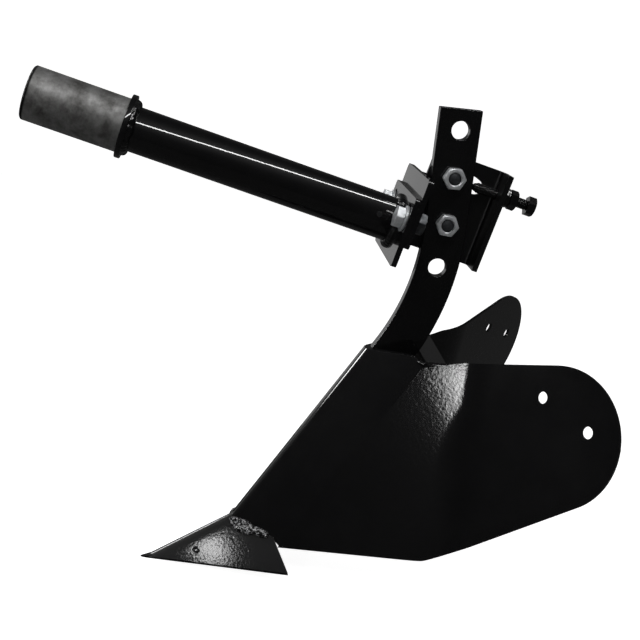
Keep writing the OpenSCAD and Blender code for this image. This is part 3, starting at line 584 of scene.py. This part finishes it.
# The top and bottom of the wing at a place along X, seen square to its tail: round behind, then
# straight edges that meet in a blended corner, and at the front the slanting edge of the nose's leg,
# at a distance ahead that is measured in the front panel
def wingHeights(x):
    tail, radius = np.array(wing["tail"]), wing["tailRadius"]
    bow = np.sqrt(np.maximum(radius ** 2 - (x - tail[0]) ** 2, 0))
    topPoint = tail + radius * wayAt(90 + wing["topRise"])
    clipPoint = topPoint - wing["clipAhead"] * wayAt(wing["topRise"])
    topLine = lineHeight(topPoint, wing["topRise"], x)
    clipLine = lineHeight(clipPoint, wing["topRise"] + wing["clipTurn"], x)
    top = np.where(x > topPoint[0], tail[1] + bow, np.minimum(topLine, clipLine))
    trailPoint = tail + radius * wayAt(wing["trailSlope"] - 90)
    corner = trailPoint - wing["trailLength"] * wayAt(wing["trailSlope"])
    trail = lineHeight(trailPoint, wing["trailSlope"], x)
    floorLine = lineHeight(corner, wing["bottomSlope"], x)
    blend = (trail - floorLine) / 2
    bottom = (trail + floorLine) / 2 + np.sqrt(blend ** 2 + wing["cornerBlend"] ** 2)
    bottom = np.where(x > trailPoint[0], tail[1] - bow, bottom)
    ahead = x / math.cos(math.radians(wing["fold"])) + wing["foldAt"]
    edge = ahead / math.tan(math.radians(wing["foldLean"]))
    return np.minimum(top, np.where(ahead < wing["edgeReach"], edge, top)), bottom


# One wing's sheet: even columns from the nose to the tail, closer together round the tail, and rows
# shared out between the bottom and top edges; quads inside a hole go, and those round it are drawn
# onto its circle. The outer face carries the grid and the sheet's thickness goes inwards.
def wingPiece(name, side):
    tail, radius = np.array(wing["tail"]), wing["tailRadius"]
    x = np.arange(wing["frontLimit"], tail[0], wing["step"])
    x = np.concatenate([x, tail[0] + radius * np.sin(np.linspace(0.02, math.pi / 2, wing["tailSteps"]))])
    top, bottom = wingHeights(x)
    first = np.argmax(top > bottom - 1e-6) - 1
    short, over = bottom[first] - top[first], top[first + 1] - bottom[first + 1]
    t = short / (short + over)    # where the two edges cross, between the first two columns
    for values in (x, top, bottom):
        values[first] += (values[first + 1] - values[first]) * t
    bottom[first] = top[first]
    x, top, bottom = x[first:], top[first:], bottom[first:]
    y = bottom[:, None] + (top - bottom)[:, None] * np.linspace(0, 1, wing["rows"])[None, :]
    across = np.broadcast_to(x[:, None], y.shape)
    points = np.stack([across, y, foldHeight(across, y)], -1).reshape(-1, 3)
    faces = gridQuads(len(x), wing["rows"])
    for hole in wing["holes"]:
        centre = tail + np.array(hole)
        gone = np.linalg.norm(points[faces].mean(1)[:, :2] - centre, axis=1) < wing["holeRadius"]
        rim = np.intersect1d(faces[gone], faces[~gone])
        away = points[rim, :2] - centre
        points[rim, :2] = centre + away / np.linalg.norm(away, axis=1, keepdims=True) * wing["holeRadius"]
        faces = faces[~gone]
    placed = carried(wingTail, points)
    if side < 0:
        faces = faces[:, ::-1]
    else:
        placed = placed * [1, -1, 1]
    piece = newPiece(name, placed, faces, sharpFrom=60, closed=False)
    mergeDoubles(piece.data, edges["mergeSheet"])
    sheet = piece.modifiers.new("sheet", "SOLIDIFY")
    sheet.thickness, sheet.offset, sheet.use_even_offset = wing["thick"] / 1000, -1.0, False
    return eased(piece, wing["softEdge"], angle=60)


for side, sideName in sides:
    dressed(wingPiece("wing_" + sideName + "_sheet", side), sheetEnamel, "plough", "wing_" + sideName)

print("making the share")


# The share as one fan of two plates: along is the distance from the tip, across goes from one corner
# over the ridge to the other. The ridge is rounded by a square root that softens the fold, dents are
# bell-shaped hollows, and the underside is the plates' thickness or the flat ground face.
def sharePiece():
    roof = math.radians(share["roof"])
    along = (np.linspace(0, 1, share["alongSteps"]) ** share["tipCrowding"])[:, None]
    narrow, wide = share["ridgeShare"]
    plate = np.linspace(wide, 1, share["plateSteps"])
    middle = np.linspace(-narrow, narrow, share["ridgeSteps"])
    across = np.concatenate([-plate[::-1], middle, plate])[None, :]
    reach, slide = np.abs(across), np.sign(across)
    x = along * (share["ridge"] * (1 - reach) + share["corner"][0] * reach)
    s = along * share["corner"][1] * reach
    y = slide * s * math.cos(roof)
    soft = share["ridgeRound"] * np.minimum(1, along * share["ridgeFade"])
    z = -math.tan(roof) * np.sqrt(y ** 2 + soft ** 2)
    for atX, atS, size, depth in share["dents"]:
        z = z - depth * np.exp(-((x - atX) ** 2 + (s - atS) ** 2) / (size ** 2)) * (slide < 0)
    ground = math.atan2(share["corner"][1] * math.sin(roof), share["corner"][0])
    plateUnder = -math.tan(roof) * np.abs(y) - share["thick"] / math.cos(roof)
    groundFace = (-share["edge"] - x * math.sin(ground)) / math.cos(ground)
    under = np.minimum(np.maximum(plateUnder, groundFace), z - share["leastThick"])
    rings = np.concatenate([np.stack([x, y, z], -1), np.stack([x, y, under], -1)[:, ::-1]], 1)
    rows, columns = rings.shape[:2]
    last, i = (rows - 1) * columns, np.arange(columns // 2 - 1)
    back = np.stack([last + i, last + i + 1, last + columns - 2 - i, last + columns - 1 - i], -1)
    faces = np.concatenate([gridQuads(rows, columns, closeColumns=True), back])
    placed = carried(ridgeFrame, rings)
    placed[..., 2] = np.maximum(placed[..., 2], 0)
    return newPiece("share_forged", placed, faces, sharpFrom=38)


shareFan = eased(sharePiece(), share["softEdge"], angle=45)
dressed(shareFan, shareEnamel, "plough", "share_right", "share_left")

beadForm = {
    "step": 0.45, "leastSteps": 24, "aroundSteps": 28, "taper": 1.6, "tip": 0.02,
    "waves": (0, 0, 1, 1, 2, 3), "waveHeight": (0.3, 1.0), "waveMm": (2.2, 9), "waveDivisor": 3,
    "rippleHeight": 0.12, "crescent": 0.5, "uneven": 0.8, "unevenMm": 7,
}


# A weld bead along a path: round across, its radius swollen by ripples one after the other and by
# slow lumps, and drawn to a point at both ends; away is the side on which it stands proud
def weldBead(name, body, path, away, radius, ripple, lumpiness, seed, flat=1.0, finish=None):
    chance = np.random.default_rng(seed)
    path = np.asarray(path, float)
    legs = np.linalg.norm(np.diff(path, axis=0), axis=1)
    station = np.concatenate([[0], np.cumsum(legs)])
    count = max(beadForm["leastSteps"], int(station[-1] / beadForm["step"]))
    at = np.linspace(0, station[-1], count)[:, None]
    line = np.stack([np.interp(at[:, 0], station, path[:, i]) for i in range(3)], -1)
    way = np.gradient(line, axis=0)
    way /= np.linalg.norm(way, axis=1, keepdims=True)
    away = np.broadcast_to(np.asarray(away, float), line.shape)
    out = away - way * np.sum(away * way, 1, keepdims=True)
    out /= np.linalg.norm(out, axis=1, keepdims=True)
    side = np.cross(way, out)
    around = fullTurn(beadForm["aroundSteps"])[None, :]
    lumps = sum(
        chance.uniform(*beadForm["waveHeight"])
        * np.sin(at / chance.uniform(*beadForm["waveMm"]) + k * around + chance.uniform(0, 6))
        for k in beadForm["waves"]) / beadForm["waveDivisor"]
    uneven = beadForm["crescent"] * np.cos(around) + beadForm["uneven"] * np.sin(at / beadForm["unevenMm"])
    ripples = np.abs(np.sin(np.pi * at / ripple + uneven)) - 0.5
    fromEnd = np.minimum(at, station[-1] - at)
    ends = np.clip(fromEnd / (beadForm["taper"] * radius), beadForm["tip"], 1) ** 0.5
    size = radius * ends * (1 + lumpiness * lumps + beadForm["rippleHeight"] * ripples)
    rings = (line[:, None] + out[:, None] * (size * flat * np.cos(around))[..., None]
             + side[:, None] * (size * np.sin(around))[..., None])
    piece = ringStack(name, np.eye(4), rings, sharpFrom=80)
    return dressed(piece, finish or beadEnamel, body)


# Where the nose's leg stands on the share: up the nose's line from its foot to the roof's slope
def onShare(x, side):
    toShare, roof = math.radians(nose["toShare"]), math.radians(share["roof"])
    y = nose["halfBand"] + x * math.tan(math.radians(nose["legAngle"]))
    rise = (x * math.sin(toShare) - math.tan(roof) * y) / math.cos(toShare)
    along = nose["shareReach"] + x * math.cos(toShare) + rise * math.sin(toShare)
    return np.stack([along, side * y, -x * math.sin(toShare) + rise * math.cos(toShare)], -1)


print("laying the welds")
noseWeld = {    # directions in the share's frame, for the left side
    "span": (0.2, 34), "points": 40, "outward": (-0.45, 0.72, 0.55), "downShare": (-0.75, 0.55, -0.4),
    "proud": 0.5, "ripple": 1.9, "lumpiness": 0.5, "flat": 0.85,
    "runs": (    # first and last point on the seam, radius, distance down the share, seed
        (0, 40, 3.3, 0.3, 3), (1, 28, 2.6, 3.8, 8), (24, 40, 2.4, 2.4, 5), (8, 24, 2.2, 6.6, 21)),
}
wingTack = {
    "path": ((38, 41.0, 15.5), (43, 44.5, 16.0), (46.5, 46.5, 16.6)), "radius": 1.9, "ripple": 2.0,
    "lumpiness": 0.5, "seed": 31,
}
bracketWeld = {
    "from": (-35.3, 12.7, -25.5), "to": (-35.3, 12.7, 36.5), "points": 30, "outward": (1, 1, 0),
    "radius": 2.9, "ripple": 2.8, "lumpiness": 0.3, "seed": 12,
}
for side, sideName in sides:
    toSide = np.array([1, side, 1])
    seam = inPlough(ridgeFrame, onShare(np.linspace(*noseWeld["span"], noseWeld["points"]), side))
    outward = ridgeFrame[:3, :3] @ (noseWeld["outward"] * toSide)
    outward /= np.linalg.norm(outward)
    slide = ridgeFrame[:3, :3] @ (noseWeld["downShare"] * toSide)
    for run, (first, last, radius, shift, seed) in enumerate(noseWeld["runs"]):
        path = seam[first:last] + noseWeld["proud"] * outward + shift * slide
        bead = weldBead(
            "nose_weld_" + sideName + "_" + str(run), "plough", path, outward, radius, noseWeld["ripple"],
            noseWeld["lumpiness"], seed + side, noseWeld["flat"], paintedGlintEnamel)
        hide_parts("nose_weld")
    path = inPlough(noseFrame, wingTack["path"] * toSide)
    weldBead("wing_tack_" + sideName, "plough", path, noseFrame[:3, 2], wingTack["radius"],
             wingTack["ripple"], wingTack["lumpiness"], wingTack["seed"])

corner = np.linspace(bracketWeld["from"], bracketWeld["to"], bracketWeld["points"])
cornerBead = weldBead(
    "bracket_weld_bead", "bracket", inPlough(tubeFrame, corner), tubeFrame[:3, :3] @ bracketWeld["outward"],
    bracketWeld["radius"], bracketWeld["ripple"], bracketWeld["lumpiness"], bracketWeld["seed"])
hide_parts("bracket_weld")

print("making the fasteners")
hexagon = {
    "aroundSteps": 144, "cornerPower": 36, "cone": 0.955, "face": 0.985, "coneAngle": 30, "rim": 0.05,
    "countersink": 0.9, "centre": 0.01,
}


# A hexagon's outer radius round its axis: the flats' distance over the cosine, with its corners
# slightly rounded by a soft maximum over the six flats
def hexRadius(angle, flats):
    towards = np.cos(angle[..., None] - np.arange(6) * np.pi / 3)
    power = hexagon["cornerPower"]
    return flats / 2 / np.sum(np.maximum(towards, 0) ** power, -1) ** (1 / power)


# A bolt head or, with a bore, a nut round the X axis from station 0 to its height. At its outer ends
# a cone takes off the corners, and a nut's bore has a small countersink.
def hexPiece(name, matrix, flats, height, turn=0.0, bore=0.0):
    angle = fullTurn(hexagon["aroundSteps"])
    full = hexRadius(angle - math.radians(turn), flats)
    cone = flats / 2 * hexagon["cone"]
    drop = np.maximum(full - cone, 0) * math.tan(math.radians(hexagon["coneAngle"]))
    face, rim, sink = cone * hexagon["face"], hexagon["rim"], hexagon["countersink"]
    if bore:
        underside = [(sink, bore), (0.0, bore + sink), (0.0, face), (rim, cone), (drop, full)]
        middle = [(height, bore + sink), (height - sink, bore)]
    else:
        underside = [(0.0, hexagon["centre"]), (0.0, cone), (0.0, full)]
        middle = [(height, hexagon["centre"])]
    profile = underside + [(height - drop, full), (height - rim, cone), (height, face)] + middle
    rings = np.stack([aroundX(x, r, angle) for x, r in profile], 1)
    return ringPiece(name, matrix, rings, sharpFrom=32)


threadForm = {
    "stepsPerTurn": 8, "aroundSteps": 40, "gain": 1.25, "crest": 0.12, "chamfer": 1.2, "chamferSlope": 0.9,
}


# A threaded rod along the X axis: a helix whose radius falls by the thread's depth in a triangle wave
# of the distance along less the turn, with flattened crests and roots; the ends are chamfered
def threadedRod(name, matrix, start, end, thread):
    along = np.arange(start, end + 1e-6, thread["pitch"] / threadForm["stepsPerTurn"])[:, None]
    angle = fullTurn(threadForm["aroundSteps"])[None, :]
    wave = np.abs(((along / thread["pitch"] - angle / (2 * np.pi)) % 1) * 2 - 1)
    wave = np.clip(wave * threadForm["gain"] - threadForm["crest"], 0, 1)
    fromEnd = np.minimum(along - start, end - along)
    cut = np.maximum(threadForm["chamfer"] - fromEnd, 0) * threadForm["chamferSlope"]
    r = thread["radius"] - np.maximum(thread["depth"] * wave, cut)
    return ringStack(name, matrix, aroundX(along, r, angle), sharpFrom=60)


bolt = {    # M12 with a coarse thread, and its washer and nuts
    "flats": 19, "headHeight": 7.5, "nutHeight": 10, "thinNutHeight": 8, "nutBore": 6.05,
    "washerThick": 2.5, "washerRadius": 12, "washerBore": 6.25, "washerEdges": (0.2, 0.5, 0.7, 0.2),
    "thread": {"radius": 5.98, "pitch": 1.75, "depth": 0.9},
}


# The bolt's flat washer, with its outer edge rounded by stamping
def washerPiece(name, matrix, start):
    end = start + bolt["washerThick"]
    outline = [(start, bolt["washerBore"]), (start, bolt["washerRadius"]), (end, bolt["washerRadius"]),
               (end, bolt["washerBore"])]
    return lathePiece(name, matrix, roundedLoop(outline, bolt["washerEdges"]), steps=96)


crossing = {    # the bolts through the shank: stations along X, which runs from the head to the nut
    "headAt": -21.3, "thread": (-14.0, 15.0), "washerAt": -13.8,
    "pivotNut": (6.15, 12), "tiltNut": (6.0, -2),    # station and turn
    "tiltTurn": 7.4, "tiltRise": 44.3,
}
tiltFrame = pivotFrame @ turned("y", crossing["tiltTurn"]) @ shifted(0, 0, crossing["tiltRise"])
for name, matrix, boltBody, washerBody, (nutAt, nutTurn) in (
        ("pivot", pivotFrame, "bracket", "bracket", crossing["pivotNut"]),
        ("tilt", tiltFrame, "plough", "plough", crossing["tiltNut"])):
    cross = matrix @ turned("z", -90)
    head = hexPiece(name + "_head", cross @ shifted(crossing["headAt"]), bolt["flats"], bolt["headHeight"])
    dressed(head, zinc, boltBody, name + "_bolt")
    rod = threadedRod(name + "_thread", cross, *crossing["thread"], bolt["thread"])
    dressed(rod, threadZinc, boltBody, name + "_bolt")
    washer = washerPiece(name + "_washer_disc", cross, crossing["washerAt"])
    dressed(washer, zinc, washerBody, name + "_washer")
    nut = hexPiece(name + "_nut_hex", cross @ shifted(nutAt), bolt["flats"], bolt["nutHeight"], nutTurn,
                   bolt["nutBore"])
    dressed(nut, zinc, boltBody, name + "_nut")

flangeJoint = {    # stations along the tube's axis
    "aside": 50.18, "below": -2.93, "headAt": -57.1, "headTurn": 6, "thread": (-49.8, -28.8),
    "washerAt": -49.6, "nutAt": -36.8, "nutTurn": 12,
}
for side, sideName in sides:
    axis = tubeFrame @ shifted(0, side * flangeJoint["aside"], flangeJoint["below"])
    head = hexPiece("flange_head_" + sideName, axis @ shifted(flangeJoint["headAt"]), bolt["flats"],
                    bolt["headHeight"], flangeJoint["headTurn"])
    dressed(head, zinc, "bracket", "flange_bolts")
    rod = threadedRod("flange_thread_" + sideName, axis, *flangeJoint["thread"], bolt["thread"])
    dressed(rod, threadZinc, "bracket", "flange_bolts")
    washer = washerPiece("flange_washer_" + sideName, axis, flangeJoint["washerAt"])
    dressed(washer, zinc, "bracket", "flange_washers")
    nut = hexPiece("flange_nut_" + sideName, axis @ shifted(flangeJoint["nutAt"]), bolt["flats"],
                   bolt["thinNutHeight"], flangeJoint["nutTurn"], bolt["nutBore"])
    dressed(nut, shadedZinc, "bracket", "flange_nuts")

screw = {    # M10 with a coarse thread; stations along the tube's direction
    "rise": 41.8, "tip": 10.88, "length": 56, "flats": 17, "height": 8, "nutBore": 5.05,
    "weldNutAt": 40.5, "weldNutTurn": 15, "lockNutAt": 48.5, "lockNutTurn": 40, "headTurn": 20,
    "tipRadius": 4, "tipLength": 5, "tipSteps": 9, "thread": {"radius": 5, "pitch": 1.5, "depth": 0.35},
}
screwAxis = tubeFrame @ shifted(0, 0, screw["rise"])
tipAt, tipRadius, headAt = screw["tip"], screw["tipRadius"], screw["tip"] + screw["length"]
weldNut = hexPiece("screw_weld_nut_hex", screwAxis @ shifted(screw["weldNutAt"]), screw["flats"],
                   screw["height"], screw["weldNutTurn"], screw["nutBore"])
dressed(weldNut, plateEnamel, "bracket", "screw_weld_nut")
lockNut = hexPiece("screw_lock_nut_hex", screwAxis @ shifted(screw["lockNutAt"]), screw["flats"],
                   screw["height"], screw["lockNutTurn"], screw["nutBore"])
dressed(lockNut, plateEnamel, "bracket", "screw_lock_nut")
rod = threadedRod("screw_thread", screwAxis, tipAt + tipRadius, headAt, screw["thread"])
dressed(rod, plateEnamel, "screw", "adjusting_screw")
tipAngle = np.linspace(0.02, math.pi / 2, screw["tipSteps"])
roundTip = np.stack([tipAt + tipRadius - tipRadius * np.cos(tipAngle), tipRadius * np.sin(tipAngle)], -1)
tipOutline = np.concatenate([
    [(tipAt, hexagon["centre"])], roundTip,
    [(tipAt + screw["tipLength"], tipRadius), (tipAt + screw["tipLength"], hexagon["centre"])]])
dressed(lathePiece("screw_tip", screwAxis, tipOutline, steps=48), plateEnamel, "screw", "adjusting_screw")
head = hexPiece("screw_head", screwAxis @ shifted(headAt), screw["flats"], screw["height"],
                screw["headTurn"])
dressed(head, plateEnamel, "screw", "adjusting_screw")

print("setting the camera and the lights")
look = {
    "cameraAt": (-0.052827, -1.07255, 0.528136), "forward": (0.0616, 0.9649, -0.2554), "lens": 64.73,
    "sensor": 36.0, "middle": (0.0, 0.0, 0.25), "paper": "#dcdcdc", "worldGrey": 0.035,
    "floorGlow": 0.96, "floorGrey": 0.055, "wallGlow": 1.0, "wallGrey": 0.42, "clothGrey": 0.05,
    "greyEnd": -0.42, "greyFade": 0.1, "floorGreyEnd": 9,
    "wide": 3, "front": -0.75, "back": 3, "wallFoot": -0.5, "wallTop": 3,    # the stage's size, in metres
}
lamps = {
    "strip_over_camera": {
        "at": (0.40, -0.70, 1.48), "longWay": (0.70, 0.71, 0.12), "size": (1.8, 0.07), "watts": 11},
    "strip_behind_left": {
        "at": (-0.905, 0.45, 0.77), "longWay": (0.48, 0.87, 0.25), "size": (0.6, 0.13), "watts": 6.5},
    "spot_for_share": {
        "at": (-0.862, -0.145, 0.935), "longWay": (0, 1, 0), "size": (0.08, 0.05), "watts": 0.36},
    "soft_box_above": {
        "at": (-0.60, -0.32, 1.35), "longWay": (0, 1, 0), "size": (0.3, 0.3), "watts": 3.0},
    "window_for_wing": {
        "at": (-0.634, -1.303, 0.52), "longWay": (0.366, -0.341, -0.87), "size": (0.18, 0.074),
        "watts": 0.31},
    "window_for_fold": {
        "at": (-0.622, -1.315, 0.525), "longWay": (0.22, -0.20, -0.95), "size": (0.15, 0.045),
        "watts": 0.26},
}
cameraData = bpy.data.cameras.new("camera")
cameraData.lens, cameraData.sensor_width = look["lens"], look["sensor"]
cameraData.clip_start, cameraData.clip_end = 0.02, 50.0
camera = inScene("camera", cameraData)
camera.location = look["cameraAt"]
camera.rotation_euler = Vector(look["forward"]).to_track_quat("-Z", "Y").to_euler()
bpy.context.scene.camera = camera


# An area lamp: its Z axis points away from the plough's middle, and its long side is kept as near as
# can be to the wanted direction, square to that axis
def addLamp(name, at, longWay, size, watts):
    data = bpy.data.lights.new(name, "AREA")
    data.shape = "RECTANGLE"
    data.size, data.size_y = size
    data.energy = watts
    lamp = inScene(name, data)
    back = (Vector(at) - Vector(look["middle"])).normalized()
    across = back.cross(Vector(longWay)).normalized()
    along = across.cross(back)
    lamp.matrix_world = Matrix((along, across, back)).transposed().to_4x4()
    lamp.location = at


for name, settings in lamps.items():
    addLamp(name, **settings)


# A stage surface. The camera sees it as glowing white paper that keeps the plough's soft shadow, and
# glossy rays see a plain grey, which is what the enamel mirrors. To the right of the place where the
# grey ends, a dark cloth hangs, as beside a photographer's paper roll.
def stageMaterial(name, cameraGlow, mirroredGrey, greyEnd):
    material, tree, shader = newMaterial(name, Roughness=0.9, Base_Color=linearColour(look["paper"]))
    path = addNode(tree, "ShaderNodeLightPath")
    glow = addNode(tree, "ShaderNodeMath", {"operation": "MULTIPLY"}, i0=(path, "Is Camera Ray"))
    glow.inputs[1].default_value = cameraGlow
    shader.inputs["Emission Color"].default_value = (1, 1, 1, 1)
    linked(tree, shader, Emission_Strength=(glow, 0))
    where = addNode(tree, "ShaderNodeTexCoord")
    place = addNode(tree, "ShaderNodeSeparateXYZ", {}, Vector=(where, "Object"))
    cloth = addNode(tree, "ShaderNodeMapRange",
                    {"From Min": greyEnd, "From Max": greyEnd + look["greyFade"], "To Min": mirroredGrey,
                     "To Max": min(mirroredGrey, look["clothGrey"])}, Value=(place, "X"))
    grey = addNode(tree, "ShaderNodeEmission", {}, Strength=(cloth, "Result"))
    both = addNode(tree, "ShaderNodeMixShader", {},
                   i0=(path, "Is Glossy Ray"), i1=(shader, 0), i2=(grey, 0))
    linked(tree, next(n for n in tree.nodes if n.type == "OUTPUT_MATERIAL"), Surface=(both, 0))
    return material


wide, front, back = look["wide"], look["front"], look["back"]
floorPoints = [(-wide, front, 0), (wide, front, 0), (wide, back, 0), (-wide, back, 0)]
floor = newPiece("floor", floorPoints, [(0, 1, 2, 3)], closed=False)
floor.data.materials.append(
    stageMaterial("pale_floor", look["floorGlow"], look["floorGrey"], look["floorGreyEnd"]))
foot, top = look["wallFoot"], look["wallTop"]
wallPoints = [(-wide, back, foot), (wide, back, foot), (wide, back, top), (-wide, back, top)]
wall = newPiece("back_wall", wallPoints, [(3, 2, 1, 0)], closed=False)
wall.data.materials.append(
    stageMaterial("white_back_wall", look["wallGlow"], look["wallGrey"], look["greyEnd"]))

world = bpy.data.worlds.new("studio")
world.use_nodes = True
bpy.context.scene.world = world
tree = world.node_tree
background = next(n for n in tree.nodes if n.type == "BACKGROUND")
path = addNode(tree, "ShaderNodeLightPath")
level = addNode(tree, "ShaderNodeMapRange", {"To Min": look["worldGrey"], "To Max": 1.0},
                Value=(path, "Is Camera Ray"))
linked(tree, background, Strength=(level, 0))
background.inputs["Color"].default_value = (1, 1, 1, 1)
bpy.context.scene.view_settings.view_transform = "Standard"

print("done")
